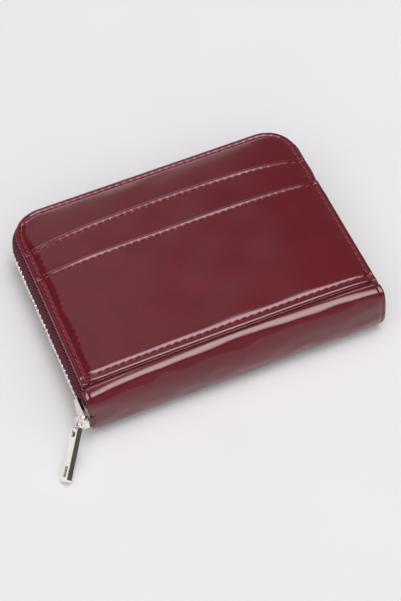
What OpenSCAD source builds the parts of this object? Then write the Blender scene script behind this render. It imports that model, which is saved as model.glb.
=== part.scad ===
// Compact zip-around wallet, closed.
// +X runs along the spine, +Y from the spine to the far zip side, +Z up.
// The origin is the middle of the back cover's underside, on which the wallet rests.

/* [Covers] */
// Width along the spine
wallet_w = 125; // [118:1:132]
// Distance from the middle of the covers to their far edge
far_y = 51.3; // [48:0.1:54]
// Radius of the two corners on the zip side
corner_r = 13.5; // [12:0.5:16]
// Cover leather thickness
leather_t = 1.0; // [0.8:0.1:1.0]
// Stiffening board thickness
board_t = 0.7; // [0.6:0.1:0.7]
// Lining thickness
lining_t = 0.6; // [0.4:0.1:0.6]

/* [Outside pockets] */
// Thickness of each outside pocket panel
panel_t = 0.8; // [0.6:0.1:1.0]
// Mouth of the upper outside pocket
upper_slot_y = 30; // [28:1:32]
// Mouth of the lower outside pocket
lower_slot_y = 15.5; // [13:0.5:18]
// Turned hem of the outside pockets, at the spine
hem_y = -41.8; // [-41.9:0.1:-41.5]

/* [Stitching] */
// Distance from one stitch to the next
stitch_pitch = 3.2; // [2.8:0.1:3.6]
// Length of one stitch on the surface
stitch_len = 2.5; // [2:0.1:2.6]
// Distance of the border stitching from the cover's edge
stitch_inset = 2.2; // [1.8:0.1:2.6]

/* [Inside] */
// Thickness of a card slot
card_t = 0.7; // [0.6:0.1:0.7]
// Number of card slots on each cover
card_slots = 3; // [3:1:3]
// Height of each note compartment
note_gap = 4.3; // [4.2:0.1:4.6]
// Inside height of the coin pocket
coin_gap = 4.6; // [4.4:0.1:5]
// Thickness of the coin pocket's leather
coin_t = 0.7; // [0.6:0.1:0.7]
// Mouth of the coin pocket
coin_mouth_y = 24; // [20:1:24]

/* [Zip] */
// Distance from one tooth to the next in one row
tooth_pitch = 2.7; // [2.4:0.1:2.8]
// Width of one tooth along the chain
tooth_w = 1.3; // [1.1:0.1:1.5]
// Zip tape thickness
tape_t = 0.6; // [0.5:0.1:0.6]
// Distance of the chain's middle outside the covers' edge
chain_out = 1.9; // [1.8:0.1:2]
// Length of the slider
slider_len = 9; // [8:0.5:9]
// Length of the puller bar from its pin to its tip
bar_len = 20.5; // [18:0.5:21]

/* [Hidden] */
$fn = 48;
half_w = wallet_w / 2;
back_y = -44.9;
front_y = -41.5;
inner_y = -39.5;
board_inset = 7;
lining_inset = 1.2;

// Heights of the layers, from the table up
z_board = leather_t;
z_lining = z_board + board_t;
z_cards = z_lining + lining_t;
z_notes = z_cards + card_slots * card_t;
z_coin = z_notes + note_gap;
coin_h = coin_gap + 2 * coin_t;
z_upper_notes = z_coin + coin_h;
z_upper_cards = z_upper_notes + note_gap;
z_upper_lining = z_upper_cards + card_slots * card_t;
z_upper_board = z_upper_lining + lining_t;
z_front = z_upper_board + board_t;
z_upper_pocket = z_front + leather_t;
z_lower_pocket = z_upper_pocket + panel_t;
z_top = z_lower_pocket + panel_t;

// The chain runs half way between the two covers
zip_z = (z_front + z_board) / 2;
zip_y = -40;
tooth_start = 0.6;
slot_half = 0.35;
head_h = 0.75;
tape_edge_z = zip_z - slot_half - head_h;
jaw_h = 1.9;
tooth_half = 1.0;
jaw_gap = 0.05;
tape_root = 6;
tape_bend_out = 0.8;
tape_bend_z = tape_edge_z - 2.4;

// Spine: a rounded shell between the two creases
spine_half = 61;
spine_yc = -42.5;
spine_zc = 12.3;
spine_a = 7.4;
spine_b = 11.9;
spine_power = 2.4;
spine_first = 2;
spine_step = 6.2;
spine_t = 1.2;
spine_board_t = 0.6;
spine_lining_t = 0.5;
spine_depth = spine_t + spine_board_t + spine_lining_t;

// Folded ends of the zip
tab_w = 5;
clip_w = 4;
tail_x = 62.4;
tail_y = -43;

// Card slots
card_half = 52;
card_step = 12;
first_card_y = 32;

// Coin pocket
coin_half = 53.5;
coin_bottom_y = -43.5;
coin_wall = 0.8;
coin_anchor_y = -47.5;
coin_anchor_t = 0.8;
coin_tape_t = 0.5;
coin_tape_root = 8;
coin_chain_y = coin_mouth_y + 1.2;
coin_tooth_half = 1.0;
coin_tooth_pitch = 2.1;
coin_tooth_w = 1.1;
coin_chain_half = 47;
coin_z = z_coin + coin_h / 2;
coin_edge_z = coin_z - slot_half - 0.6;
coin_slider_x = -42;
coin_slider_len = 7.5;
coin_pin_y = coin_chain_y + 3.5;
coin_pull_len = 13;

// Gussets
gusset_out = 58.4;
gusset_fold = 50.5;
gusset_t = 0.5;
gusset_end_y = 22;

// Main slider and its puller
slider_y = zip_y - 0.2 - slider_len / 2;
plate_t = 0.8;
channel_half = 1.25;
slider_half_h = 4.2;
flange_h = 0.8;
flange_len = 0.6;
web_half = 0.2;
pin_r = 0.6;
eye_play = 0.06;
lug_reach = 1.4;
lug_r = 1.2;
lug_x = -(half_w + chain_out + channel_half + plate_t + lug_reach);
lug_y = slider_y - 3.5;
lug_in = 1.6;
lug_t = 0.9;
swing_yaw = -36;
droop = 24.8;
bar_roll = -42;
link_len = 3;
link_r = 1.1;
link_arm = 1.4;
bar_w = 4.4;
bar_t = 2.2;
fork_slot = 2.4;
window_l = 4.4;
window_w = 1.9;

// ---- shared shapes ----

// A panel with square corners at the spine and round ones on the zip side
module panel_outline(inset, near_y, edge_y, r) {
    w = half_w - inset;
    translate([-w, near_y]) square([2 * w, edge_y - r - near_y]);
    translate([-w + r, near_y]) square([2 * (w - r), edge_y - near_y]);
    for (side = [-1, 1]) translate([side * (w - r), edge_y - r]) circle(r);
}

module cover_sheet(inset, near_y, z0, t) {
    translate([0, 0, z0]) linear_extrude(t)
        panel_outline(inset, near_y, far_y - inset, corner_r - inset / 2);
}

module strip(x_half, y0, y1, z0, t) {
    translate([-x_half, y0, z0]) cube([2 * x_half, y1 - y0, t]);
}

// Everything above the chain is the mirror image of what is below it
module above_chain(middle) {
    translate([0, 0, 2 * middle]) mirror([0, 0, 1]) children();
}

module both_sides() {
    children();
    mirror([1, 0, 0]) children();
}

// Extrudes a profile (outwards, up) along the two sides, the far edge and the two corners
module around_zip(start_y) {
    side_len = far_y - corner_r - start_y;
    far_half = half_w - corner_r;
    both_sides() {
        translate([half_w, far_y - corner_r, 0]) rotate([90, 0, 0]) linear_extrude(side_len) children();
        translate([far_half, far_y - corner_r, 0])
            rotate_extrude(angle = 90) translate([corner_r, 0]) children();
    }
    translate([-far_half, far_y, 0]) rotate([0, 0, 90]) rotate([90, 0, 0])
        linear_extrude(2 * far_half) children();
}

// Repeats a block along the same path
module along_zip(start_y, pitch) {
    side_len = far_y - corner_r - start_y;
    side_count = floor(side_len / pitch);
    far_half = half_w - corner_r;
    far_count = floor(far_half / pitch);
    turn_r = corner_r + chain_out;
    turn_count = floor(turn_r * PI / 2 / pitch);
    both_sides() {
        for (i = [0 : side_count - 1])
            translate([half_w, start_y + pitch * (i + 0.5), 0]) children();
        for (i = [0 : turn_count - 1])
            translate([far_half, far_y - corner_r, 0]) rotate([0, 0, 90 * (i + 0.5) / turn_count])
                translate([corner_r, 0, 0]) children();
    }
    for (i = [-far_count : far_count])
        translate([i * pitch, far_y, 0]) rotate([0, 0, 90]) children();
}

// ---- covers ----

module back_cover_leather() {
    color([0.40, 0.09, 0.13]) cover_sheet(0, back_y, 0, leather_t);
}

module back_cover_board() {
    color("tan") cover_sheet(board_inset, inner_y, z_board, board_t);
}

module back_lining() {
    color([0.30, 0.10, 0.14]) cover_sheet(lining_inset, inner_y, z_lining, lining_t);
}

module front_cover_leather() {
    color([0.40, 0.09, 0.13]) cover_sheet(0, front_y, z_front, leather_t);
}

module front_cover_board() {
    color("tan") cover_sheet(board_inset, inner_y, z_upper_board, board_t);
}

module front_lining() {
    color([0.30, 0.10, 0.14]) cover_sheet(lining_inset, inner_y, z_upper_lining, lining_t);
}

module front_upper_pocket() {
    color([0.42, 0.10, 0.14]) strip(half_w, hem_y, upper_slot_y, z_upper_pocket, panel_t);
}

module front_lower_pocket() {
    color([0.44, 0.10, 0.14]) strip(half_w, hem_y, lower_slot_y, z_lower_pocket, panel_t);
}

// Card slots step back towards the spine, the deepest one next to the lining
module card_slot(step, z0) {
    color([0.36, 0.11, 0.15]) strip(card_half, inner_y + 1, first_card_y - step * card_step, z0, card_t);
}

module back_card_slot(step) {
    card_slot(step, z_cards + step * card_t);
}

module front_card_slot(step) {
    card_slot(step, z_upper_lining - (step + 1) * card_t);
}

// ---- stitching ----

module stitch(along_x) {
    size = along_x ? [stitch_len, 0.6, 0.3] : [0.6, stitch_len, 0.3];
    translate([-size[0] / 2, -size[1] / 2, 0]) cube(size);
}

module stitch_row(y, z) {
    count = floor((half_w - stitch_inset) / stitch_pitch) - 1;
    color([0.65, 0.15, 0.22]) for (i = [-count : count]) translate([i * stitch_pitch, y, z]) stitch(true);
}

// Top surface at a distance from the spine
function surface_z(y) = y < lower_slot_y ? z_top : y < upper_slot_y ? z_lower_pocket : z_upper_pocket;

// Clear of both pocket mouths
function on_step(y) = abs(y - lower_slot_y) < stitch_pitch / 2 || abs(y - upper_slot_y) < stitch_pitch / 2;

module border_stitching() {
    x = half_w - stitch_inset;
    turn_r = corner_r - stitch_inset;
    side_count = floor((far_y - corner_r - hem_y) / stitch_pitch);
    far_count = floor((half_w - corner_r) / stitch_pitch);
    turn_count = floor(turn_r * PI / 2 / stitch_pitch);
    color([0.65, 0.15, 0.22]) {
        both_sides() {
            for (i = [0 : side_count - 1]) {
                y = hem_y + (i + 0.7) * stitch_pitch;
                if (!on_step(y)) translate([x, y, surface_z(y)]) stitch(false);
            }
            for (i = [0 : turn_count - 1])
                translate([half_w - corner_r, far_y - corner_r, z_upper_pocket])
                    rotate([0, 0, 90 * (i + 0.6) / turn_count]) translate([turn_r, 0, 0]) stitch(false);
        }
        for (i = [-far_count : far_count])
            translate([i * stitch_pitch, far_y - stitch_inset, z_upper_pocket]) stitch(true);
    }
}

// ---- zip around the wallet ----

// Lower tape: flat under the lining, then bulging out and up to the chain
module tape_profile() {
    flat_u = -tape_bend_out;
    a = chain_out + tape_t / 2 + tape_bend_out;
    b = tape_bend_z - z_board;
    turns = [0 : 15 : 90];
    outer = [for (t = turns) [flat_u + a * sin(t), tape_bend_z - b * cos(t)]];
    inner = [for (t = turns) [flat_u + (a - tape_t) * sin(90 - t),
        tape_bend_z - (b - tape_t) * cos(90 - t)]];
    polygon(concat(
        [[-tape_root, z_board]], outer,
        [[chain_out + tape_t / 2, tape_edge_z], [chain_out - tape_t / 2, tape_edge_z]], inner,
        [[-tape_root, z_board + tape_t]]));
}

// A tooth: a solid head with two jaws that grip the edge of the tape
module tooth_profile(half, grip, edge_z, jaw, head) {
    polygon([[-half, edge_z + head], [half, edge_z + head], [half, edge_z - jaw], [grip, edge_z - jaw],
        [grip, edge_z], [-grip, edge_z], [-grip, edge_z - jaw], [-half, edge_z - jaw]]);
}

module tooth() {
    translate([chain_out, tooth_w / 2, 0]) rotate([90, 0, 0]) linear_extrude(tooth_w)
        tooth_profile(tooth_half, tape_t / 2 + jaw_gap, tape_edge_z, jaw_h, head_h);
}

module zip_tape_lower() {
    color([0.25, 0.08, 0.14]) around_zip(zip_y) tape_profile();
}

module zip_tape_upper() {
    color([0.25, 0.08, 0.14]) above_chain(zip_z) around_zip(zip_y) tape_profile();
}

module zip_teeth_lower() {
    color("gold") along_zip(zip_y + tooth_start, tooth_pitch) tooth();
}

module zip_teeth_upper() {
    color("gold") above_chain(zip_z) along_zip(zip_y + tooth_start, tooth_pitch) tooth();
}

// At the left the tape's end is folded and sewn to the end of the spine, below the last teeth
module zip_end_tab_left() {
    in_y = spine_yc - spine_a + 0.1;
    end_x = half_w + chain_out - 0.3;
    color([0.25, 0.08, 0.14]) mirror([1, 0, 0]) translate([0, 0, zip_z - tab_w / 2]) linear_extrude(tab_w)
        polygon([[spine_half, in_y + 0.9], [spine_half + 0.7, in_y + 0.2], [end_x, in_y + 0.2],
            [end_x, in_y - 0.8], [spine_half, in_y]]);
}

// Metal clip on the folded end, which stops the slider
module zip_end_clip_left() {
    in_y = spine_yc - spine_a + 0.1;
    color("gold") mirror([1, 0, 0]) translate([half_w + chain_out - 0.3, in_y - 1, zip_z - clip_w / 2])
        cube([1.5, 1.3, clip_w]);
}

// At the right the tape's end is turned in behind the spine, against its lining
module zip_end_tab_right() {
    in_y = spine_yc - spine_a + spine_depth + 0.15;
    color([0.25, 0.08, 0.14]) translate([0, 0, zip_z - tab_w / 2]) linear_extrude(tab_w)
        polygon([[tail_x - 3.4, in_y], [tail_x - 2.4, in_y], [tail_x - 2.4, tail_y - 0.5], [tail_x, tail_y - 0.5],
            [tail_x, tail_y + 0.5], [tail_x - 3.4, tail_y + 0.5]]);
}

module zip_end_clip_right() {
    color("gold") translate([tail_x, tail_y - 0.7, zip_z - clip_w / 2]) cube([1.5, 1.4, clip_w]);
}

// ---- spine ----

function rounded(value) = sign(value) * pow(abs(value), 2 / spine_power);

// Point on the spine's curve, some steps round from the front crease, at a depth below its surface
function spine_point(depth, i) = let (q = spine_first + i * spine_step)
    [spine_yc - (spine_a - depth) * rounded(sin(q)), spine_zc + (spine_b - depth) * rounded(cos(q))];

// A band of the spine's curve, from one step to another, between two depths below its surface
module spine_band(depth, t, first, last) {
    polygon(concat([for (i = [first : last]) spine_point(depth, i)],
        [for (i = [last : -1 : first]) spine_point(depth + t, i)]));
}

module along_spine(half_len) {
    translate([-half_len, 0, 0]) rotate([90, 0, 90]) linear_extrude(2 * half_len) children();
}

module spine_leather() {
    color([0.42, 0.10, 0.14]) along_spine(spine_half) spine_band(0, spine_t, 0, 25);
}

module spine_board() {
    color("tan") along_spine(spine_half - 4) spine_band(spine_t, spine_board_t, 4, 22);
}

module spine_lining() {
    color([0.30, 0.10, 0.14]) along_spine(spine_half - 1)
        spine_band(spine_t + spine_board_t, spine_lining_t, 2, 24);
}

// ---- coin pocket ----

module coin_pocket_lower_panel() {
    color([0.36, 0.11, 0.15]) strip(coin_half, coin_bottom_y, coin_mouth_y, z_coin, coin_t);
}

module coin_pocket_upper_panel() {
    color([0.36, 0.11, 0.15])
        strip(coin_half, coin_bottom_y, coin_mouth_y, z_coin + coin_t + coin_gap, coin_t);
}

// Two side walls and the bottom wall in one folded strip
module coin_pocket_sides() {
    color([0.33, 0.10, 0.14]) difference() {
        strip(coin_half, coin_bottom_y, coin_mouth_y, z_coin + coin_t, coin_gap);
        strip(coin_half - coin_wall, coin_bottom_y + coin_wall, coin_mouth_y + 1, z_coin, coin_h);
    }
}

// Leather tab that holds the pocket to the inside of the spine
module coin_pocket_anchor() {
    color([0.33, 0.10, 0.14])
        strip(coin_half - 4, coin_anchor_y, coin_bottom_y, coin_z - coin_anchor_t / 2, coin_anchor_t);
}

module coin_tape() {
    half = coin_half - coin_wall - 0.2;
    z0 = z_coin + coin_t;
    strip(half, coin_mouth_y - coin_tape_root, coin_chain_y + coin_tape_t / 2, z0, coin_tape_t);
    strip(half, coin_chain_y - coin_tape_t / 2, coin_chain_y + coin_tape_t / 2, z0, coin_edge_z - z0);
}

module coin_zip_tapes() {
    color([0.25, 0.08, 0.14]) {
        coin_tape();
        above_chain(coin_z) coin_tape();
    }
}

module coin_tooth() {
    translate([-coin_tooth_w / 2, coin_chain_y, 0]) rotate([90, 0, 90]) linear_extrude(coin_tooth_w)
        tooth_profile(coin_tooth_half, coin_tape_t / 2 + jaw_gap, coin_edge_z, 0.7, 0.6);
}

module coin_zip_teeth() {
    count = floor(coin_chain_half / coin_tooth_pitch);
    color("gold") for (i = [-count : count]) translate([i * coin_tooth_pitch, 0, 0]) {
        coin_tooth();
        above_chain(coin_z) coin_tooth();
    }
}

module coin_zip_stops() {
    color("gold") both_sides() translate([coin_chain_half + 0.8, coin_chain_y + coin_tape_t / 2, z_coin + 1])
        cube([1.6, 0.8, coin_h - 2]);
}

module coin_slider_body() {
    outer_y = coin_chain_y + coin_tooth_half + 0.4;
    inner_y0 = coin_chain_y - coin_tooth_half - 1.2;
    inner_h = coin_gap - 2 * coin_tape_t - 0.4;
    color("gold") translate([coin_slider_x, 0, 0]) difference() {
        union() {
            translate([-coin_slider_len / 2, outer_y, coin_z - 2.5]) cube([coin_slider_len, 0.8, 5]);
            translate([-coin_slider_len / 2, inner_y0, coin_z - inner_h / 2])
                cube([coin_slider_len, 0.8, inner_h]);
            translate([-1.2, inner_y0, coin_z - web_half]) cube([2.4, outer_y - inner_y0 + 0.4, 2 * web_half]);
            for (side = [-1, 1]) translate([0, coin_pin_y, coin_z + side * 1.95 - 0.4]) {
                cylinder(r = 1.1, h = 0.8);
                translate([-1.1, outer_y - coin_pin_y + 0.4, 0]) cube([2.2, coin_pin_y - outer_y - 0.4, 0.8]);
            }
        }
        translate([0, coin_pin_y, coin_z - 3]) cylinder(r = 0.5, h = 6);
    }
}

module coin_slider_pin() {
    color("gold") translate([coin_slider_x, coin_pin_y, coin_z - 2.35]) cylinder(r = 0.5, h = 4.7);
}

// Pull tab of the coin pocket, lying along the chain
module coin_pull() {
    color("gold") translate([coin_slider_x, coin_pin_y, coin_z]) difference() {
        union() {
            translate([0, 0, -1.4]) cylinder(r = 1.1, h = 2.8);
            translate([0, -0.6, -1.4]) cube([3.4, 1.2, 2.8]);
            translate([3.2, -0.6, -1.8]) cube([coin_pull_len - 3.2, 1.2, 3.6]);
        }
        translate([0, 0, -2]) cylinder(r = 0.5 + eye_play, h = 4);
        translate([coin_pull_len - 3.4, -1, -0.9]) cube([2, 2, 1.8]);
    }
}

// ---- gussets ----

// A leather fold at one side of a note compartment, from the cover to the coin pocket
module gusset() {
    low = z_notes + 0.1;
    high = z_coin - 0.1;
    middle = (low + high) / 2;
    translate([0, gusset_end_y, 0]) rotate([90, 0, 0]) linear_extrude(gusset_end_y - inner_y - 1)
        polygon([[gusset_out, low], [gusset_fold, middle], [gusset_out - 5, high],
            [gusset_out - 5, high - gusset_t], [gusset_fold + 1.6, middle], [gusset_out, low + gusset_t]]);
}

module gusset_right_lower() {
    color([0.34, 0.10, 0.14]) gusset();
}

module gusset_left_lower() {
    color([0.34, 0.10, 0.14]) mirror([1, 0, 0]) gusset();
}

module gusset_right_upper() {
    color([0.34, 0.10, 0.14]) above_chain(coin_z) gusset();
}

module gusset_left_upper() {
    color([0.34, 0.10, 0.14]) above_chain(coin_z) mirror([1, 0, 0]) gusset();
}

// ---- main slider ----

// Two plates joined by a thin web that runs in the slot between the two rows of teeth
module slider_body() {
    in_u = half_w + chain_out - channel_half - plate_t;
    out_u = half_w + chain_out + channel_half;
    color("gold") difference() {
        mirror([1, 0, 0]) translate([0, slider_y, zip_z]) {
            for (u = [in_u, out_u])
                translate([u, -slider_len / 2, -slider_half_h]) cube([plate_t, slider_len, 2 * slider_half_h]);
            for (side = [-1, 1]) {
                z0 = side > 0 ? slider_half_h - flange_h : -slider_half_h;
                translate([in_u + plate_t, -slider_len / 2, z0]) cube([flange_len, slider_len, flange_h]);
                translate([out_u - flange_len, -slider_len / 2, z0]) cube([flange_len, slider_len, flange_h]);
                translate([out_u + plate_t, lug_y - slider_y, side * (lug_in + lug_t / 2) - lug_t / 2]) {
                    translate([0, -lug_r, 0]) cube([lug_reach, 2 * lug_r, lug_t]);
                    translate([lug_reach, 0, 0]) cylinder(r = lug_r, h = lug_t);
                }
            }
            translate([in_u, -1.5, -web_half]) cube([out_u + plate_t - in_u, 3, 2 * web_half]);
        }
        translate([lug_x, lug_y, zip_z - slider_half_h]) cylinder(r = pin_r, h = 2 * slider_half_h);
    }
}

module slider_pin() {
    pin_half = lug_in + lug_t;
    color("gold") translate([lug_x, lug_y, zip_z - pin_half]) cylinder(r = pin_r, h = 2 * pin_half);
}

// Puts its children on the puller: -Y along the bar, X along the bar's pin, Z out of its broad face
module on_puller() {
    translate([lug_x, lug_y, zip_z]) rotate([0, 0, swing_yaw]) rotate([droop, 0, 0])
        translate([0, -link_len, 0]) rotate([0, bar_roll, 0]) children();
}

// Link: an upright eye on the slider's pin and a cross pin that carries the bar
module pull_link() {
    color("gold") difference() {
        union() {
            translate([lug_x, lug_y, zip_z - lug_in + 0.2]) cylinder(r = link_r, h = 2 * lug_in - 0.4);
            translate([lug_x, lug_y, zip_z]) rotate([0, 0, swing_yaw]) rotate([droop, 0, 0])
                translate([-link_arm / 2, -link_len, -link_arm / 2])
                    cube([link_arm, link_len - pin_r - eye_play - 0.1, link_arm]);
            on_puller() rotate([0, 90, 0]) {
                translate([0, 0, -bar_w / 2]) cylinder(r = pin_r, h = bar_w);
                translate([0, 0, -fork_slot / 2 + 0.2]) cylinder(r = link_r, h = fork_slot - 0.4);
            }
        }
        translate([lug_x, lug_y, zip_z - slider_half_h])
            cylinder(r = pin_r + eye_play, h = 2 * slider_half_h);
    }
}

// Puller bar with a fork at the pin and a window near the tip
module pull_bar() {
    color("gold") on_puller() difference() {
        union() {
            translate([-bar_w / 2, -bar_len + 1, -bar_t / 2]) cube([bar_w, bar_len - 1, bar_t]);
            rotate([0, 90, 0]) translate([0, 0, -bar_w / 2]) cylinder(r = bar_t / 2, h = bar_w);
            translate([-bar_w / 2 + 1, -bar_len, -bar_t / 2]) cube([bar_w - 2, 1.2, bar_t]);
            for (side = [-1, 1])
                translate([side * (bar_w / 2 - 1), -bar_len + 1, -bar_t / 2]) cylinder(r = 1, h = bar_t);
        }
        translate([-fork_slot / 2, -2.9, -bar_t]) cube([fork_slot, 2.9 + bar_t, 2 * bar_t]);
        translate([-window_w / 2, -bar_len + 1.8, -bar_t]) cube([window_w, window_l, 2 * bar_t]);
        rotate([0, 90, 0]) translate([0, 0, -bar_w]) cylinder(r = pin_r + eye_play, h = 2 * bar_w);
    }
}

back_cover_leather();
back_cover_board();
back_lining();
back_card_slot(0);  // back_card_slot_1
back_card_slot(1);  // back_card_slot_2
back_card_slot(2);  // back_card_slot_3
zip_tape_lower();
zip_teeth_lower();
gusset_left_lower();
gusset_right_lower();
spine_leather();
spine_board();
spine_lining();
coin_pocket_lower_panel();
coin_pocket_upper_panel();
coin_pocket_sides();
coin_pocket_anchor();
coin_zip_tapes();
coin_zip_teeth();
coin_zip_stops();
zip_end_tab_left();
zip_end_tab_right();
zip_end_clip_left();
zip_end_clip_right();
front_cover_leather();
front_cover_board();
front_lining();
front_card_slot(0);  // front_card_slot_1
front_card_slot(1);  // front_card_slot_2
front_card_slot(2);  // front_card_slot_3
front_upper_pocket();
front_lower_pocket();
border_stitching();
stitch_row(upper_slot_y - stitch_inset, z_lower_pocket);  // upper_slot_stitching
stitch_row(lower_slot_y - stitch_inset, z_top);  // lower_slot_stitching
stitch_row(hem_y + 3, z_top);  // hem_stitching
zip_tape_upper();
zip_teeth_upper();
gusset_left_upper();
gusset_right_upper();
slider_body();
slider_pin();
pull_link();
pull_bar();
coin_slider_body();
coin_slider_pin();
coin_pull();
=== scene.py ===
"""Compact zip-around wallet in patent leather, closed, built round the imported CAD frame.

Shapes are worked out in millimetres in the CAD frame and become metres in add_mesh().
"""

import math

import bmesh
import bpy
import numpy as np
from mathutils import Matrix, Vector


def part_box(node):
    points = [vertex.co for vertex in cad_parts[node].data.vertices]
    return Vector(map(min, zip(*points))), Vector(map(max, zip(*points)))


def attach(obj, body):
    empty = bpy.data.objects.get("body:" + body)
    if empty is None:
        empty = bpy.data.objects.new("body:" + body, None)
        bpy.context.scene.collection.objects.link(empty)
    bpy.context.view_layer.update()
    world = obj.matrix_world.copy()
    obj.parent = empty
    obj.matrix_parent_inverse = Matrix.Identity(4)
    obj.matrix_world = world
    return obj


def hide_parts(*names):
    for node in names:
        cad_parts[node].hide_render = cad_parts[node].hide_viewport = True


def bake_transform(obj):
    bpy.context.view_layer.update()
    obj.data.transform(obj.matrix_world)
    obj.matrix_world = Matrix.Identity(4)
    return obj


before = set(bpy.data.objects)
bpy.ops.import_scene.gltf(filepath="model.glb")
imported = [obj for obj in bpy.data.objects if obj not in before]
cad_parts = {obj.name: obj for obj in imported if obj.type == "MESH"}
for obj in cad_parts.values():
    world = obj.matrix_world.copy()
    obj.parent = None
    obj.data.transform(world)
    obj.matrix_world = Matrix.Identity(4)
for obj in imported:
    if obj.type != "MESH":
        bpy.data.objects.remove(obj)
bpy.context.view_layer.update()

MM = 0.001


def box_mm(node):
    """Lowest and highest corner of a CAD node in millimetres."""
    low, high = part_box(node)
    return [c / MM for c in low], [c / MM for c in high]


# ---- sizes ----

COVER_LOW, COVER_HIGH = box_mm("front_cover_leather")
BACK_LOW, BACK_HIGH = box_mm("back_cover_leather")
POCKET_1_HIGH = box_mm("front_upper_pocket")[1]
POCKET_2_LOW, POCKET_2_HIGH = box_mm("front_lower_pocket")
SPINE_HALF = box_mm("spine_leather")[1][0]

HALF_W, FAR_Y = COVER_HIGH[0], COVER_HIGH[1]
CORNER = 13.5
PITCH = 3.2  # from one stitch to the next
STITCH_IN = 2.2  # border stitches in from the edge
HEM_Y = POCKET_2_LOW[1]
HEM_ROW_Y = HEM_Y + 3.0
MOUTH_1_Y, MOUTH_2_Y = POCKET_1_HIGH[1], POCKET_2_HIGH[1]
ZIP_Z = (COVER_LOW[2] + BACK_HIGH[2]) / 2
ZIP_Y = -40.0  # where the zip starts on both sides
CHAIN_OUT = 1.9  # the chain's middle outside the cover's edge
TOOTH_PITCH = 2.7
TOOTH_START = 0.6
TAPE_T = 0.6
TAPE_EDGE = 1.1  # the tape's edge below the chain's middle
SPINE_YC, SPINE_ZC = -42.5, 12.3  # middle of the spine's section
SPINE_A, SPINE_B, SPINE_POWER = 7.4, 11.9, 2.4  # its half depth, half height and squareness
SPINE_T = 1.2


# ---- mesh tools ----

class Mesh:
    """Collects points and faces of one piece, in millimetres."""

    def __init__(self):
        self.points, self.faces = [], []

    def add(self, points, faces):
        base = len(self.points)
        self.points += [tuple(map(float, p)) for p in points]
        self.faces += [tuple(i + base for i in f) for f in faces]

    def grid(self, points, flip=False, around=False):
        """Quads over an array of rows of points; around closes each row on itself."""
        rows, columns = points.shape[:2]
        faces = []
        for r in range(rows - 1):
            for c in range(columns if around else columns - 1):
                d = (c + 1) % columns
                here, ahead = r * columns, (r + 1) * columns
                face = (here + c, here + d, ahead + d, ahead + c)
                faces.append(face[::-1] if flip else face)
        self.add(points.reshape(-1, 3), faces)

    def sheet(self, top, bottom):
        """Closed sheet from two grids whose borders meet."""
        self.grid(top)
        self.grid(bottom, flip=True)

    def walled_sheet(self, top, bottom):
        """Closed sheet from two grids that lie apart, with a wall along each border."""
        self.sheet(top, bottom)
        for border in (np.s_[0], np.s_[-1], np.s_[:, 0], np.s_[:, -1]):
            self.grid(np.stack([top[border], bottom[border]]))


def add_mesh(name, built, material, body=None, replaces=(), merge=0.004):
    """Makes a piece of a Mesh, joins points closer than merge, and rides it on a body."""
    data = bpy.data.meshes.new(name)
    data.from_pydata([tuple(c * MM for c in p) for p in built.points], [], built.faces)
    work = bmesh.new()
    work.from_mesh(data)
    bmesh.ops.remove_doubles(work, verts=work.verts, dist=merge * MM)
    bmesh.ops.dissolve_degenerate(work, edges=work.edges, dist=merge * MM / 2)
    bmesh.ops.recalc_face_normals(work, faces=work.faces)
    for face in work.faces:
        face.smooth = True
    work.to_mesh(data)
    work.free()
    data.materials.append(material)
    piece = bpy.data.objects.new(name, data)
    bpy.context.scene.collection.objects.link(piece)
    if body:
        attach(piece, body)
    if replaces:
        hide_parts(*replaces)
    return piece


EDGE_STEPS = np.array([0.0, 0.06, 0.22, 0.5])


def grid_lines(low, high, coarse, fine=0.4, marks=(), reach=1.3, edge=0.5, ends=(True, True)):
    """Grid lines from low to high, closer at the marks and where a rounded edge turns."""
    first, last = low + edge * ends[0], high - edge * ends[1]
    inner = np.linspace(first, last, 3000)
    step = np.full(inner.shape, coarse)
    for mark in marks:
        step = np.where(abs(inner - mark) < reach, fine, step)
    total = np.concatenate([[0], np.cumsum(np.diff(inner) / step[1:])])
    count = int(math.ceil(total[-1]))
    lines = np.interp(np.linspace(0, total[-1], count + 1), total, inner)
    if ends[0]:
        lines = np.concatenate([low + edge * EDGE_STEPS, lines[1:]])
        lines[3] = first
    if ends[1]:
        lines = np.concatenate([lines[:-1], high - edge * EDGE_STEPS[::-1]])
    return lines


def round_edge(distance, radius):
    """Share of the full thickness at a distance in from a rounded edge."""
    away = 1 - np.clip(np.asarray(distance, float) / radius, 0, 1)
    return np.sqrt(np.maximum(0, 1 - away**2))


def smooth(value, low, high):
    """Rises smoothly from 0 at low to 1 at high."""
    t = np.clip((value - low) / (high - low), 0, 1)
    return t * t * (3 - 2 * t)


def hump(value, width):
    """1 at value 0, falling off evenly on both sides."""
    return np.exp(-((value / width) ** 2))


def ripple(seed, height, shortest, longest, count=10):
    """A seeded, uneven, gentle wave over the plane."""
    draw = np.random.default_rng(seed)
    length = np.exp(draw.uniform(math.log(shortest), math.log(longest), count))
    angle, phase = draw.uniform(0, math.pi, count), draw.uniform(0, 2 * math.pi, count)

    def wave(x, y):
        total = 0
        for one, turn, start in zip(length, angle, phase):
            along = x * math.cos(turn) + y * math.sin(turn)
            total = total + one * np.sin(2 * math.pi * along / one + start)
        return height * total / (longest * math.sqrt(count / 2))

    return wave


def points(x, y, z):
    """Grid of points from coordinates that broadcast together."""
    return np.stack(np.broadcast_arrays(x, y, z), -1)


def line_normals(line):
    """Unit normals along a line in a plane, on its left."""
    ahead = np.gradient(line, axis=0)
    ahead /= np.linalg.norm(ahead, axis=1)[:, None]
    return np.stack([-ahead[:, 1], ahead[:, 0]], 1)


def grid_normals(grid):
    """Unit normals of a grid of points."""
    out = np.cross(np.gradient(grid, axis=0), np.gradient(grid, axis=1))
    return out / np.linalg.norm(out, axis=-1)[..., None]


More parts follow.
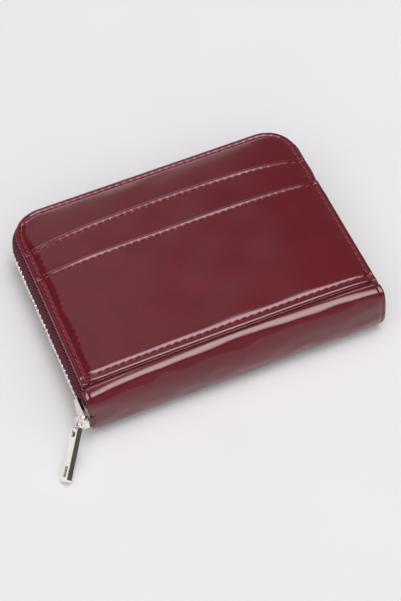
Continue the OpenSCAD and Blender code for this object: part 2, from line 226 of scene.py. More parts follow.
def arc_length(line):
    """Length from the start of a line to each of its points."""
    return np.concatenate([[0], np.cumsum(np.linalg.norm(np.diff(line, axis=0), axis=1))])


def pits(x, y, holes, radius, depth):
    """Total depth at each point of small round pits."""
    deep = np.zeros(np.shape(x))
    for hole_x, hole_y in holes:
        near = (abs(x - hole_x) < 3 * radius) & (abs(y - hole_y) < 3 * radius)
        deep[near] += depth * np.exp(-((x[near] - hole_x) ** 2 + (y[near] - hole_y) ** 2) / radius**2)
    return deep


# ---- the cover's outline ----

def inside(x, y, near_y=None):
    """Distance in from the cover's three zip sides, and from the spine side if near_y is given."""
    x, y = np.abs(x), np.asarray(y, float)
    gap = np.minimum(HALF_W - x, FAR_Y - y)
    cx, cy = x - (HALF_W - CORNER), y - (FAR_Y - CORNER)
    gap = np.where((cx > 0) & (cy > 0), CORNER - np.hypot(cx, cy), gap)
    return gap if near_y is None else np.minimum(gap, y - near_y)


def stations(start_y, step):
    """Points and outward directions along the two sides, the far edge and the corners."""
    side = np.arange(start_y, FAR_Y - CORNER, step)
    turn = np.radians(np.arange(0, 90, 4.5))
    far = np.linspace(CORNER - HALF_W, 0, int((HALF_W - CORNER) / step))
    spots = [(-HALF_W, y, -1, 0) for y in side]
    for t in turn:
        spots.append((CORNER - HALF_W - CORNER * math.cos(t), FAR_Y - CORNER + CORNER * math.sin(t),
                      -math.cos(t), math.sin(t)))
    spots += [(x, FAR_Y, 0, 1) for x in far]
    spots += [(-x, y, -nx, ny) for x, y, nx, ny in spots[-2::-1]]
    return np.array(spots)


def rim_row(start_y, inset, pitch):
    """Even steps along the outline at an inset: points, directions along it."""
    side = FAR_Y - CORNER - start_y
    radius = CORNER - inset
    bend, across = radius * math.pi / 2, 2 * (HALF_W - CORNER)
    total = 2 * (side + bend) + across
    count = int(round(total / pitch))
    spots = []
    for i in range(count + 1):
        run = total * i / count
        mirrored = run > total / 2
        run = total - run if mirrored else run
        if run < side:
            spot = [inset - HALF_W, start_y + run, 0.0, 1.0]
        elif run < side + bend:
            t = (run - side) / radius
            spot = [CORNER - HALF_W - radius * math.cos(t), FAR_Y - CORNER + radius * math.sin(t),
                    math.sin(t), math.cos(t)]
        else:
            spot = [CORNER - HALF_W + run - side - bend, FAR_Y - inset, 1.0, 0.0]
        if mirrored:
            spot = [-spot[0], spot[1], spot[2], -spot[3]]
        spots.append(spot)
    return np.array(spots)


def outline_patches(near_y, inset, coarse, marks=(), edge=0.5):
    """Grids of x and y that together fill the cover's outline: body, far strip, two corners."""
    radius, fine = CORNER - inset, 0.53
    radial = grid_lines(0, radius, coarse, fine, [radius - m for m in marks], edge=edge,
                        ends=(False, True))
    half, far = HALF_W - CORNER, FAR_Y - CORNER
    middle = np.linspace(-half, half, int(2 * half / fine) // 2 * 2 + 1)
    x_all = np.concatenate([-half - radial[:0:-1], middle, half + radial[1:]])
    y_all = grid_lines(near_y, far, coarse, edge=edge, ends=(True, False))
    patches = [np.meshgrid(x_all, y_all), np.meshgrid(middle, far + radial)]
    angles = np.linspace(0, math.pi / 2, 41)
    for side in (-1, 1):
        patches.append((side * (half + np.outer(radial, np.cos(angles))),
                        far + np.outer(radial, np.sin(angles))))
    return patches


# ---- the front's shape ----

CROWN = 2.8
CROWN_Y = 5  # where the crown is highest
CROWN_TO_SPINE, CROWN_TO_FAR = 55.9, 45.0  # how far it reaches each way from there
front_wave = ripple(3, 0.22, 16, 60)


def crown(x, y):
    """Height of the padded front above its flat CAD panel."""
    across = 1 - np.abs(x / HALF_W) ** 5.0
    span = np.where(y < CROWN_Y, CROWN_TO_SPINE, CROWN_TO_FAR)
    along = 1 - np.clip(np.abs(y - CROWN_Y) / span, 0, 1) ** 4
    return CROWN * across * along


def relief(x, y):
    """Crown and slight unevenness, which fades out at the border."""
    return crown(x, y) + front_wave(x, y) * smooth(inside(x, y, HEM_Y - 1), 0.5, 9)


def mouth_1(x):
    """Mouth of the upper pocket, bowed towards the far edge."""
    return MOUTH_1_Y + 3.0 * (1 - (x / HALF_W) ** 2)


def mouth_2(x):
    """Mouth of the lower pocket."""
    return MOUTH_2_Y + 0.5 * (1 - (x / HALF_W) ** 2)


def border_form(gap):
    """Rounded border outside its stitches, and the groove that they press in."""
    return 0.12 * hump(gap - 1.0, 0.7) - 0.45 * hump(gap - STITCH_IN, 0.8)


BORDER_ROW = rim_row(HEM_Y + 0.9, STITCH_IN, PITCH)
ROW_END = HALF_W - 0.5


def cross_row(x_end, line):
    """Holes a stitch apart from side to side, at y = line(x)."""
    x = np.linspace(-x_end, x_end, int(round(2 * x_end / PITCH)) + 1)
    return np.stack([x, line(x) + 0 * x], 1)


SLOT_ROWS = [None, cross_row(ROW_END, lambda x: mouth_1(x) - STITCH_IN),
             cross_row(ROW_END, lambda x: mouth_2(x) - STITCH_IN)]
HEM_ROW = cross_row(ROW_END, lambda x: HEM_ROW_Y)
LAYER_TOPS = [COVER_HIGH[2], POCKET_1_HIGH[2], POCKET_2_HIGH[2]]
MOUTHS = [None, mouth_1, mouth_2]


def pucker(x, y):
    """Small gathers along the left border, and the roll of the right border."""
    gap = HALF_W + x
    pull = np.sin(2 * math.pi * y / PITCH + 0.9 * np.sin(y / 5.1)) * (0.65 + 0.35 * np.sin(y / 3.3 + 1))
    gathers = 0.26 * pull * hump(gap - 4.3, 1.6) * (1 - smooth(y, 24, 34))
    right_roll = 0.5 * hump(HALF_W - x, 5.0)
    return gathers + 0.22 * hump(gap - 6.2, 1.9) - right_roll


def layer_top(layer, x, y, holes=True):
    """Upper surface of the cover leather (0), the upper pocket (1) or the lower pocket (2)."""
    height = LAYER_TOPS[layer] + relief(x, y) + border_form(inside(x, y)) + pucker(x, y)
    rows = [BORDER_ROW]
    if layer:
        back = MOUTHS[layer](x) - y
        height = height + 0.14 * hump(back - 0.6, 0.5) - 0.14 * hump(back - STITCH_IN, 0.7)
        height = height + lift(layer, x, y)
        rows.append(SLOT_ROWS[layer])
    if layer < 2:
        out = y - MOUTHS[layer + 1](x)
        height = height - 0.35 * np.exp(-np.clip(out, 0, 60) / 2.2) * smooth(inside(x, y), 0, 5)
    if layer == 2:
        hem = y - HEM_Y
        height = height + 0.10 * hump(hem - 0.8, 0.6) - 0.30 * hump(hem - 3.0, 0.75)
        rows.append(HEM_ROW)
    if holes:
        for row in rows:
            height = height - pits(x, y, row[:, :2], 0.38, 0.24)
    return height


def lift(layer, x, y):
    """A pocket's mouth stands a little off the panel behind it in the middle."""
    back = np.clip(MOUTHS[layer](x) - y, 0, 60)
    return 0.38 * np.exp(-back / 7) * smooth(inside(x, 0), 2, 30)


def layer_bottom(layer, x, y):
    """Lower surface of a layer, which follows its upper one without the stitches."""
    if layer == 0:
        return LAYER_TOPS[0] - 1.0 + relief(x, y)
    return LAYER_TOPS[layer] - 0.78 + relief(x, y) + lift(layer, x, y)


def surface(x, y):
    """Top of whatever layer shows at a point."""
    x, y = np.asarray(x, float), np.asarray(y, float)
    level = [layer_top(k, x, y, holes=False) for k in range(3)]
    return np.where(y < mouth_2(x), level[2], np.where(y < mouth_1(x), level[1], level[0]))


def leather_sheet(built, x, y, top, bottom, gap, radius=0.45):
    """Sheet between two heights, rounded where gap, the distance in from its edge, is small."""
    middle, half = (top + bottom) / 2, (top - bottom) / 2 * round_edge(gap, radius)
    built.sheet(points(x, y, middle + half), points(x, y, middle - half))


def make_front(leather):
    base = Mesh()
    near_y = COVER_LOW[1]
    patches = outline_patches(near_y, 0, 1.3, marks=[STITCH_IN, 4.2])
    for x, y in patches:
        leather_sheet(base, x, y, layer_top(0, x, y), layer_bottom(0, x, y), inside(x, y, near_y))
    add_mesh("front_top_panel", base, leather, "front", ["front_cover_leather"])
    x_lines = patches[0][0][0]
    for layer, name, node in ((1, "upper_pocket_panel", "front_upper_pocket"),
                              (2, "lower_pocket_panel", "front_lower_pocket")):
        mouth_y = (MOUTH_1_Y, MOUTH_2_Y)[layer - 1]
        marks = [mouth_y - STITCH_IN, mouth_y - 0.8, HEM_ROW_Y, HEM_Y + 1]
        y_lines = grid_lines(HEM_Y, mouth_y, 0.8, 0.36, marks)
        x, y = np.meshgrid(x_lines, y_lines)
        y = y + (MOUTHS[layer](x) - mouth_y) * smooth(y, mouth_y - 16, mouth_y - 5)
        panel = Mesh()
        gap = np.minimum(np.minimum(HALF_W - np.abs(x), y - HEM_Y), MOUTHS[layer](x) - y)
        leather_sheet(panel, x, y, layer_top(layer, x, y), layer_bottom(layer, x, y),
                      np.maximum(gap, 0), 0.5)
        add_mesh(name, panel, leather, "front", [node])


# ---- stitches ----

STITCH_SLANT, STITCH_GAP = 0.16, 0.38  # sideways shift and end gap, as in saddle stitching
FINE_MERGE = 0.0005  # for pieces with fine detail


def stitch(built, start, end, up, radius=0.29, rise=0.30, rings=9, around=8):
    """One stitch: a twisted thread that comes out of one hole and dives into the next."""
    start, end, up = (np.array(v, float) for v in (start, end, up))
    along = end - start
    side = np.cross(along, up)
    side = side / np.linalg.norm(side)
    ring_list = []
    for i in range(rings):
        t = i / (rings - 1)
        centre = start + along * t + up * rise * (math.sin(math.pi * t) ** 0.6 - 0.55)
        thick = radius * (0.72 + 0.28 * math.sin(math.pi * t))
        ring = []
        for j in range(around):
            turn = 2 * math.pi * j / around
            twist = 1 + 0.10 * math.cos(2 * turn + 9 * t)
            ring.append(centre + thick * twist * (side * math.cos(turn) + up * math.sin(turn)))
        ring_list.append(ring)
    built.grid(np.array(ring_list), around=True)
    last = (rings - 1) * around
    base = len(built.points) - rings * around
    built.faces.append(tuple(base + j for j in range(around)))
    built.faces.append(tuple(base + last + j for j in reversed(range(around))))


def thread_row(row, height, up=(0, 0, 1)):
    """Stitches between each two neighbouring holes of a row, laid on a surface."""
    built = Mesh()
    for a, b in zip(row[:-1], row[1:]):
        run = b[:2] - a[:2]
        long = np.linalg.norm(run)
        run = run / long
        aside = np.array([-run[1], run[0]]) * STITCH_SLANT
        first, second = a[:2] + run * STITCH_GAP - aside, b[:2] - run * STITCH_GAP + aside
        ends = [np.array([p[0], p[1], float(height(p[0], p[1]))]) for p in (first, second)]
        stitch(built, ends[0], ends[1], up)
    return built


def make_front_stitches(thread):
    lay = lambda x, y: surface(x, y) + 0.04
    for row, name in ((BORDER_ROW, "border"), (SLOT_ROWS[1], "upper_slot"),
                      (SLOT_ROWS[2], "lower_slot"), (HEM_ROW, "hem")):
        add_mesh(f"{name}_thread", thread_row(row, lay), thread, "front",
                 [f"{name}_stitching"], FINE_MERGE)


# ---- back ----

def make_back(leather, thread):
    back = Mesh()
    near_y = BACK_LOW[1]
    row = rim_row(near_y + 2.4, STITCH_IN, PITCH)
    for x, y in outline_patches(near_y, 0, 1.6, marks=[STITCH_IN]):
        gap = inside(x, y, near_y)
        bottom = 0.05 + 0.34 * hump(gap - STITCH_IN, 0.75) + pits(x, y, row[:, :2], 0.42, 0.25)
        leather_sheet(back, x, y, BACK_HIGH[2], bottom, gap)
    add_mesh("back_panel", back, leather, "back", ["back_cover_leather"])
    threads = thread_row(row, lambda x, y: 0.44, up=(0, 0, -1))
    add_mesh("back_border_thread", threads, thread, "back", merge=FINE_MERGE)


# ---- spine ----

spine_wave = ripple(11, 0.20, 10, 40)


def spine_rise(x):
    """How much the spine's top follows the crowned hem up."""
    return crown(x, HEM_Y + 0 * x)


def spine_skin(angle, x):
    """Outer surface of the spine in y and z: nearly round in the middle, squarer at its ends."""
    turn = np.radians(angle)
    s, c = np.sin(turn), np.cos(turn)
    upper = 2.15 + 1.75 * np.abs(x / SPINE_HALF) ** 1.6
    power = 2 / np.where(c > 0, upper, SPINE_POWER)
    y = SPINE_YC - SPINE_A * s**power
    z = SPINE_ZC + SPINE_B * np.sign(c) * np.abs(c) ** power
    return y, z + spine_rise(x) * (1 - smooth(angle, 0, 100))


def make_spine(leather):
    """Spine leather from the front's hem round to the back, pressed in along both end seams."""
    angles = np.concatenate([[2, 2.3, 3.2, 5], np.arange(7, 150, 1.6), [152, 155, 156.4, 157]])
    flat_x = grid_lines(-1, 1, 0.015, 0.006, [-0.975, 0.975], reach=0.03, edge=0.01)
    q, t = np.meshgrid(angles, flat_x, indexing="ij")
    left = -HALF_W - 0.25 + 1.2 * smooth(angles, 125, 157) - 0.6 * (1 - smooth(angles, 30, 90))
    right = HALF_W + 0.55 - 2.6 * smooth(angles, 95, 157) ** 2
    x = left[:, None] + (right - left)[:, None] * (t + 1) / 2
    y, z = spine_skin(q, x)
    skin = points(x, y, z)
    out = -grid_normals(skin)
    if out[len(angles) // 2, len(flat_x) // 2, 1] > 0:
        out = -out
    arc = arc_length(skin[:, len(flat_x) // 2])
    edge_gap = np.broadcast_to(np.minimum(arc, arc[-1] - arc)[:, None], q.shape)
    end_gap = (1 - np.abs(t)) * HALF_W
    push = spine_wave(x, arc[:, None] * 1.6) * smooth(edge_gap, 0, 6)
    push = push - 0.28 * hump(end_gap - 1.7, 0.5) * smooth(edge_gap, 0, 2) - SPINE_T / 2
    half = SPINE_T / 2 * round_edge(np.minimum(end_gap, edge_gap * 2), 0.6)
    spine = Mesh()
    spine.sheet(*(skin + out * (push + side * half)[..., None] for side in (1, -1)))
    piece = add_mesh("spine_shell", spine, leather, None, ["spine_leather"])
    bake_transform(piece)


def profile_sheet(profile, x_lines, thick, rise=None):
    """Sheet with one section along X: profile is its middle line in y and z, lifted by rise(x)."""
    profile = np.array(profile, float)
    normal, arc = line_normals(profile), arc_length(profile)
    gap = np.minimum(np.minimum(x_lines - x_lines[0], x_lines[-1] - x_lines)[None, :],
                     np.minimum(arc, arc[-1] - arc)[:, None])
    half = thick / 2 * round_edge(gap, thick / 2)
    lifted = rise(x_lines)[None, :] if rise else 0
    grids = []
    for side in (1, -1):
        y = profile[:, 0][:, None] + normal[:, 0][:, None] * side * half
        z = profile[:, 1][:, None] + normal[:, 1][:, None] * side * half + lifted
        grids.append(points(x_lines[None, :], y, z))
    built = Mesh()
    built.sheet(*grids)
    return built


def smooth_line(points, count):
    """Catmull-Rom curve through points, as an array of that many points."""
    points = np.array(points, float)
    padded = np.vstack([2 * points[0] - points[1], points, 2 * points[-1] - points[-2]])
    result = []
    for i in range(count):
        t = i / (count - 1) * (len(points) - 1)
        k = min(int(t), len(points) - 2)
        f = t - k
        p0, p1, p2, p3 = padded[k:k + 4]
        result.append(0.5 * (2 * p1 + (p2 - p0) * f + (2 * p0 - 5 * p1 + 4 * p2 - p3) * f**2
                             + (3 * p1 - p0 - 3 * p2 + p3) * f**3))
    return np.array(result)


def make_creases(leather):
    """The leather runs on from the cover through the two creases."""
    x = grid_lines(-SPINE_HALF - 1.7, SPINE_HALF + 1.5, 1.6, edge=0.4)
    front = smooth_line([(-40.9, 22.9), (-41.6, 23.05), (-42.3, 23.45), (-43.0, 23.68),
                         (-43.9, 23.6)], 21)
    piece = add_mesh("front_crease", profile_sheet(front, x, 0.8, spine_rise), leather)
    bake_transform(piece)
    back = smooth_line([(-42.6, 1.35), (-44.0, 1.35), (-45.2, 1.75), (-46.0, 2.7)], 15)
    piece = add_mesh("back_crease", profile_sheet(back, x, 0.5), leather)
    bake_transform(piece)


# ---- zip ----

tape_wave = ripple(21, 0.16, 5, 20)


def tape_profile():
    """Middle line of the lower tape: outward distance and height."""
    flat = [(u, BACK_HIGH[2] + TAPE_T / 2) for u in np.linspace(-6, -0.8, 7)]
    a, b, z = CHAIN_OUT + 0.8, 6.9, BACK_HIGH[2] + TAPE_T / 2 + 6.9
    bend = [(-0.8 + a * math.sin(t), z - b * math.cos(t)) for t in np.radians(np.arange(6, 91, 6))]
    rise = [(CHAIN_OUT, h) for h in np.linspace(z + 0.4, ZIP_Z - TAPE_EDGE, 7)]
    return np.array(flat + bend + rise)


def tape_sheet(start_y, upper):
    """A tape round the three zip sides, its length and its width."""
    line = tape_profile()
    normal = -line_normals(line)
    spots = stations(start_y, 0.8)
    run, arc = arc_length(spots[:, :2]), arc_length(line)
    gap = np.minimum(np.minimum(run, run[-1] - run)[:, None], np.minimum(arc, arc[-1] - arc)[None, :])
    half = TAPE_T / 2 * round_edge(gap, 0.3)
    loose = smooth(arc, 5, 9) * (1 - smooth(arc, arc[-1] - 3, arc[-1] - 0.5))
    push = tape_wave(run[:, None], arc[None, :]) * loose[None, :]
    grids = []
    for side in (1, -1):
        off = push + side * half
        u = line[:, 0][None, :] + normal[:, 0][None, :] * off
        z = line[:, 1][None, :] + normal[:, 1][None, :] * off
        z = 2 * ZIP_Z - z if upper else z
        x = spots[:, 0][:, None] + spots[:, 2][:, None] * u
        y = spots[:, 1][:, None] + spots[:, 3][:, None] * u
        grids.append(points(x, y, z))
    built = Mesh()
    built.sheet(*grids)
    return built, run[-1] * MM, arc[-1] * MM


ZIP_HALVES = (False, "back", "lower"), (True, "front", "upper")


def make_tapes(twill):
    for upper, body, level in ZIP_HALVES:
        built, long, wide = tape_sheet(ZIP_Y, upper)
        piece = add_mesh(f"{level}_tape", built, twill, body, [f"zip_tape_{level}"])


def tail_sheet(side, upper):
    """The tape's end, which turns in behind the end of the spine; side is -1 at the left."""
    heights = np.linspace(SPINE_ZC - SPINE_B + 1.35, ZIP_Z - 0.08, 26)
    line = tape_profile()
    out = np.interp(heights, line[8:, 1], line[8:, 0])
    full = (SPINE_B - 1.3) ** SPINE_POWER
    turn_y = (full - np.abs(heights - SPINE_ZC) ** SPINE_POWER) / full
    end_y = SPINE_YC - (SPINE_A - 1.35) * np.maximum(turn_y, 0.004) ** (1 / SPINE_POWER)
    share = np.linspace(0, 1, 26)
    y = ZIP_Y + 0.3 + share[None, :] * (end_y - ZIP_Y - 0.3)[:, None]
    held = 1 - smooth(np.abs(heights - ZIP_Z), 4.3, 6.4)
    turn = smooth(-y, -ZIP_Y + 0.1, -ZIP_Y + 7.3 - 6.0 * held[:, None])
    u = out[:, None] * (1 - turn) - 0.55 * turn
    z = (2 * ZIP_Z - heights if upper else heights)[:, None]
    grids = [points(side * (HALF_W + u + push), y, z) for push in (0.22, -0.22)]
    built = Mesh()
    built.walled_sheet(*grids)
    return built


def make_tails(twill):
    for side, where in ((-1, "left"), (1, "right")):
        lower = add_mesh(f"lower_tape_end_{where}", tail_sheet(side, False), twill)
        upper = add_mesh(f"upper_tape_end_{where}", tail_sheet(side, True), twill)
        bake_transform(lower)
        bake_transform(upper)


def tooth_shape():
    """One tooth: across the chain (u), along it (s) and up (z from the tape's edge)."""
    built = Mesh()
    levels = [(-1.9, 0.80, 0.38), (-1.7, 1.0, 0.50), (-0.9, 1.04, 0.54), (-0.1, 1.0, 0.54),
              (0.45, 0.88, 0.52), (0.95, 0.68, 0.46), (1.3, 0.46, 0.34), (1.45, 0.2, 0.16)]
    round_off, corners = 0.55, 12
    rings = []
    for z, half_u, half_s in levels:
        ring = []
        for k in range(corners):
            t = 2 * math.pi * (k + 0.5) / corners
            c, s = (math.copysign(abs(v) ** round_off, v) for v in (math.cos(t), math.sin(t)))
            ring.append((half_u * c, half_s * s, z))
        rings.append(ring)
    built.grid(np.array(rings), around=True)
    built.faces.append(tuple(reversed(range(corners))))
    top = corners * (len(levels) - 1)
    built.faces.append(tuple(top + k for k in range(corners)))
    return built


def make_teeth(metal):
    """Two rows of teeth that interlock, the lower one set in a little."""
    shape = tooth_shape()
    across, along, height = np.array(shape.points).T
    for upper, body, level in ZIP_HALVES:
        row = rim_row(ZIP_Y + TOOTH_START, -CHAIN_OUT if upper else 0.45 - CHAIN_OUT, TOOTH_PITCH)
        if upper:
            row = (row[:-1] + row[1:]) / 2
        built = Mesh()
        for x, y, ax, ay in row:
            length = math.hypot(ax, ay)
            ax, ay = ax / length, ay / length
            z = ZIP_Z - TAPE_EDGE + height
            built.add(points(x + along * ax - across * ay, y + along * ay + across * ax,
                             2 * ZIP_Z - z if upper else z), shape.faces)
        add_mesh(f"{level}_teeth", built, metal, body, [f"zip_teeth_{level}"],
                 FINE_MERGE)


# ---- inside ----

slack = ripple(21, 0.16, 14, 60)
INNER_T = 0.68


def slab(low, high, marks=(), coarse=2.6):
    """Grid over a node's rectangle and the distance in from its edges."""
    edge = 0.35
    x, y = np.meshgrid(grid_lines(low[0], high[0], coarse, edge=edge),
                       grid_lines(low[1], high[1], coarse, 0.3, marks, edge=edge))
    gap = np.minimum(np.minimum(x - low[0], high[0] - x), np.minimum(y - low[1], high[1] - y))
    return x, y, np.maximum(gap, 0)


def thin_sheet(x, y, middle, gap, thick):
    built = Mesh()
    leather_sheet(built, x, y, middle + thick / 2, middle - thick / 2, gap, thick / 2)
    return built


def make_card_slots(leather, thread):
    """Stepped slots on each inner face; face says which way their open side looks."""
    for body, face in (("back", 1), ("front", -1)):
        for k in (1, 2, 3):
            node = f"{body}_card_slot_{k}"
            low, high = box_mm(node)
            row_y = high[1] - 1.9
            x, y, gap = slab(low, high, [row_y])
            sag = lambda px: 0.9 * (1 - (px / high[0]) ** 2)
            dip = smooth(y, high[1] - 14, high[1] - 4) * sag(x)
            shape = slack(x, y) * smooth(gap, 0, 8) - 0.13 * hump(y - row_y, 0.6)
            middle = (low[2] + high[2]) / 2 + face * shape
            add_mesh(f"{node}_leather", thin_sheet(x, y - dip, middle, gap, INNER_T), leather, body,
                     [node])
            top = high[2] if face > 0 else low[2]
            row = cross_row(high[0] - 1.6, lambda px: row_y - sag(px))
            lay = lambda px, py: top + face * (slack(px, py) - 0.06)
            add_mesh(f"{node}_thread", thread_row(row, lay, up=(0, 0, face)), thread, body,
                     merge=FINE_MERGE)


def make_linings(lining):
    inset = 1.2
    for node, body in (("back_lining", "back"), ("front_lining", "front")):
        low, high = box_mm(node)
        built = Mesh()
        for x, y in outline_patches(low[1], inset, 3.0, edge=0.3):
            gap = np.maximum(np.minimum(inside(x, y) - inset, y - low[1]), 0)
            leather_sheet(built, x, y, high[2] - 0.01, low[2] + 0.01, gap, 0.3)
        piece = add_mesh(f"{body}_cover_lining", built, lining, body, [node])


def make_spine_lining(lining):
    """Lining along the spine's inner curve."""
    angles = np.radians(np.arange(8, 151, 4.0))
    x_lines = grid_lines(-SPINE_HALF + 1, SPINE_HALF - 1, 3.0)
    power = 2 / SPINE_POWER
    grids = []
    for depth in (1.85, 2.25):
        y = SPINE_YC - (SPINE_A - depth) * np.sin(angles) ** power
        z = SPINE_ZC + (SPINE_B - depth) * np.sign(np.cos(angles)) * np.abs(np.cos(angles)) ** power
        grids.append(points(x_lines[None, :], y[:, None], z[:, None]))
    built = Mesh()
    built.walled_sheet(*grids)
    piece = add_mesh("spine_inner_lining", built, lining, "spine", ["spine_lining"])


def coin_crown(x, y, low, high):
    """How far a coin pocket panel swells between its edges."""
    along = 2 * (y - low[1]) / (high[1] - low[1]) - 1
    return 0.8 * (1 - np.abs(x / high[0]) ** 4) * (1 - np.abs(along) ** 4)


def make_coin_pocket(leather, thread):
    for name, face in (("lower", -1), ("upper", 1)):
        node = f"coin_pocket_{name}_panel"
        low, high = box_mm(node)
        rows = high[1] - 1.6, high[1] - 7.0
        x, y, gap = slab(low, high, rows)

        def lay(px, py):
            pressed = sum(hump(py - row, 0.6) for row in rows)
            return coin_crown(px, py, low, high) + slack(px + 40, py) - 0.12 * pressed

        middle = (low[2] + high[2]) / 2 + face * lay(x, y) * smooth(gap, 0, 3)
        add_mesh(f"coin_{name}_leather", thin_sheet(x, y, middle, gap, INNER_T), leather, "spine",
                 [node])
        skin = high[2] if face > 0 else low[2]
        built = Mesh()
        on_skin = lambda px, py: skin + face * (lay(px, py) + 0.04)
        for row_y in rows:
            part = thread_row(cross_row(high[0] - 3.2, lambda px: row_y), on_skin, up=(0, 0, face))
            built.add(part.points, part.faces)
        add_mesh(f"coin_{name}_thread", built, thread, "spine", merge=FINE_MERGE)


def make_coin_walls(leather):
    """Side and bottom walls in one strip with a slight inward fold, and the tab to the spine."""
    low, high = box_mm("coin_pocket_sides")
    turn = np.radians(np.arange(0, 91, 15))
    left, bottom, r = low[0] + 0.4, low[1] + 0.4, 2.0
    spots = [(left, y, 1, 0) for y in np.linspace(high[1] - 0.3, bottom + r, 30)]
    for c, s in zip(np.cos(turn), np.sin(turn)):
        spots.append((left + r - r * c, bottom + r - r * s, c, s))
    spots += [(x, bottom, 0, 1) for x in np.linspace(left + r, 0, 24)]
    spots += [(-x, y, -nx, ny) for x, y, nx, ny in spots[-2::-1]]
    spots = np.array(spots)
    z = np.linspace(low[2] - 0.1, high[2] + 0.1, 13)
    fold = 0.55 * hump(z - (low[2] + high[2]) / 2, 1.2)
    grids = []
    for side in (0.36, -0.36):
        push = (fold + side)[None, :]
        grids.append(points(spots[:, 0][:, None] + spots[:, 2][:, None] * push,
                            spots[:, 1][:, None] + spots[:, 3][:, None] * push, z[None, :]))
    built = Mesh()
    built.walled_sheet(*grids)
    add_mesh("coin_wall_leather", built, leather, "spine", ["coin_pocket_sides"])
    low, high = box_mm("coin_pocket_anchor")
    x, y, gap = slab(low, high, coarse=1.6)
    middle = (low[2] + high[2]) / 2 + 0.1 * np.sin(x / 6.0)
    add_mesh("coin_anchor_leather", thin_sheet(x, y, middle, gap, 0.76), leather, "spine",
             ["coin_pocket_anchor"])


def make_coin_tapes(twill):
    low, high = box_mm("coin_zip_tapes")
    x = grid_lines(low[0], high[0], 2.0, edge=0.25)
    flat_z, tip_z, chain_y = low[2] + 0.25, ZIP_Z - 0.97, high[1] - 0.25
    line = smooth_line([(low[1] + 0.3, flat_z), (chain_y - 4, flat_z), (chain_y - 0.7, flat_z + 0.02),
                        (chain_y, flat_z + 0.6), (chain_y, tip_z)], 25)
    for name in ("lower", "upper"):
        profile = np.array(line)
        if name == "upper":
            profile[:, 1] = 2 * ZIP_Z - profile[:, 1]
        nodes = ["coin_zip_tapes"] if name == "lower" else []
        piece = add_mesh(f"coin_tape_{name}", profile_sheet(profile, x, 0.46), twill, "spine",
                         nodes)


def gusset_sheet(side, upper):
    """A deep fold, narrow by the spine and wide at its open end; also its area and length."""
    low, high = box_mm("gusset_right_lower")
    y = np.linspace(low[1], high[1], 40)
    turn = np.linspace(0, math.pi, 45)
    reach = 5.5 + 14.5 * (y - low[1]) / (high[1] - low[1])
    edge = high[0] - 5.0 * turn / math.pi
    fold = high[0] - 0.5 - reach
    x = fold[:, None] + (edge[None, :] - fold[:, None]) * (1 - np.sin(turn))[None, :]
    start_z, end_z = BACK_HIGH[2] + 1.55, high[2] - 0.2
    climb = start_z + 2.3 * smooth(turn, 0, 0.30) + (end_z - start_z - 2.3) * (1 - np.cos(turn)) / 2
    z = climb[None, :] + 0.12 * slack(x, 3 * y[:, None])
    skin = points(x, y[:, None], z)
    out = grid_normals(skin)
    grids = []
    for half in (0.22, -0.22):
        grid = skin + out * half
        grid[..., 0] *= side
        grid[..., 2] = 2 * ZIP_Z - grid[..., 2] if upper else grid[..., 2]
        grids.append(grid)
    built = Mesh()
    built.walled_sheet(*grids)
    patch = np.cross(np.diff(skin, axis=0)[:, :-1], np.diff(skin, axis=1)[:-1])
    return built, np.linalg.norm(patch, axis=-1).sum(), high[1] - low[1]


def make_gussets(leather):
    for side, where in ((-1, "left"), (1, "right")):
        for upper in (False, True):
            built, area, long = gusset_sheet(side, upper)
            level = "upper" if upper else "lower"
            piece = add_mesh(f"gusset_{where}_{level}_leather", built, leather)
            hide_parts(f"gusset_{where}_{level}")
            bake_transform(piece)


# ---- materials ----

class Nodes:
    """Short names for building a node tree."""

    def __init__(self, tree):
        self.tree = tree

    def new(self, kind):
        return self.tree.nodes.new("ShaderNode" + kind)

    def link(self, value, socket):
        """Feeds a socket from a node, or sets it to a constant."""
        if isinstance(value, bpy.types.NodeSocket):
            self.tree.links.new(value, socket)
        else:
            socket.default_value = value

    def math(self, operation, a, b):
        node = self.new("Math")
        node.operation = operation
        self.link(a, node.inputs[0])
        self.link(b, node.inputs[1])
        return node.outputs[0]

    def span(self, value, low, high, from_low=0.0, from_high=1.0, easing="LINEAR"):
        """Maps from_low..from_high to low..high."""
        node = self.new("MapRange")
        node.interpolation_type = easing
        for key, number in (("From Min", from_low), ("From Max", from_high),
                            ("To Min", low), ("To Max", high)):
            node.inputs[key].default_value = number
        self.link(value, node.inputs["Value"])
        return node.outputs[0]


